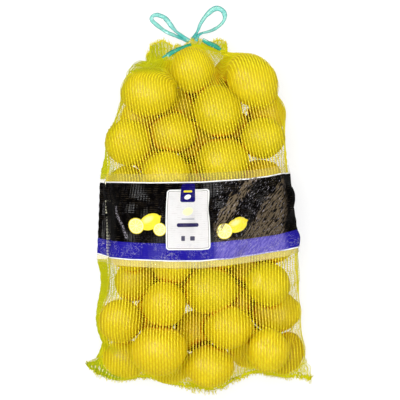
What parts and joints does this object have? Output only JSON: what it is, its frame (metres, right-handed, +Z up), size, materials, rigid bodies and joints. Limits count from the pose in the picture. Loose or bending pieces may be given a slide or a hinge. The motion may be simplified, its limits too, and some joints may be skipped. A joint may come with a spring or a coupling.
{
  "type": "net of lemons",
  "caption": "Knitted yellow net bag full of lemons, with a wide dark film band round its middle and a turquoise drawstring tied in loops at the gathered mouth.",
  "frame": {"origin": "on the floor, under the middle of the bag's box without its two drawstring loops", "axes": "+Z up, out of the side that shows; +Y from the sewn hem towards the gathered mouth; +X to the right as seen from above"},
  "size_m": [0.307, 0.5255, 0.1185],
  "materials": {
    "net": "pale yellow-green knitted net tape over lemons, slightly glossy and translucent",
    "film": "glossy printed film, black with a blue stripe and white lines, clear at its edges",
    "tape": "turquoise flat plastic tape, translucent",
    "lemon": "waxy lemon peel with fine pores"
  },
  "bodies": {
    "root": {"net_bag": "net", "label_band": "film", "drawstring_run_left": "tape", "drawstring_run_right": "tape", "drawstring_loop_left": "tape", "drawstring_loop_right": "tape"}
  },
  "joints": []
}
